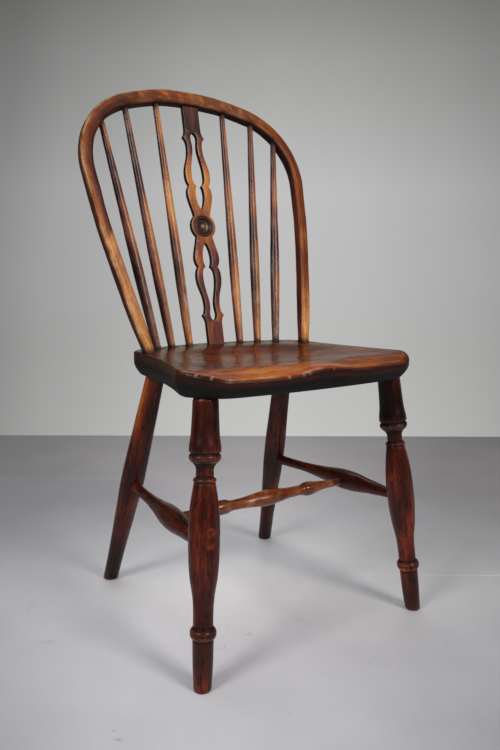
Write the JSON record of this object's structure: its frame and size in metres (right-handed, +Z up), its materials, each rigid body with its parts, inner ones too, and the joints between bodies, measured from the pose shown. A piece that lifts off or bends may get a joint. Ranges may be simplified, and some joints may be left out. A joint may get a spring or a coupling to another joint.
{
  "type": "hoop back dining chair",
  "caption": "Wooden hoop back side chair with a saddled seat, tapered spindles, a pierced splat with a turned roundel, turned splayed legs and stretchers.",
  "frame": {"origin": "on the floor, midway across and midway along the chair", "axes": "+Z up, -Y towards the front of the seat, +X to the right seen from the front"},
  "size_m": [0.4526, 0.4243, 0.893],
  "materials": {
    "seat": "elm, stained red-brown and polished",
    "hoop": "steam-bent beech, worn golden-brown polish",
    "spindles": "turned beech, worn polish",
    "splat": "sawn beech, polished",
    "roundel": "turned beech, dark polish with a bright boss",
    "legs": "turned beech, dark mahogany stain and polish",
    "stretchers": "turned beech, worn polish",
    "wedges": "oak, bare"
  },
  "bodies": {
    "root": {"seat": "seat", "hoop": "hoop", "splat": "splat", "splat_roundel": "roundel", "hoop_wedge_right": "wedges", "spindle_inner_right": "spindles", "spindle_middle_right": "spindles", "spindle_outer_right": "spindles", "leg_front_right": "legs", "leg_rear_right": "legs", "stretcher_side_right": "stretchers", "hoop_wedge_left": "wedges", "spindle_inner_left": "spindles", "spindle_middle_left": "spindles", "spindle_outer_left": "spindles", "leg_front_left": "legs", "leg_rear_left": "legs", "stretcher_side_left": "stretchers", "stretcher_cross": "stretchers"}
  },
  "joints": []
}
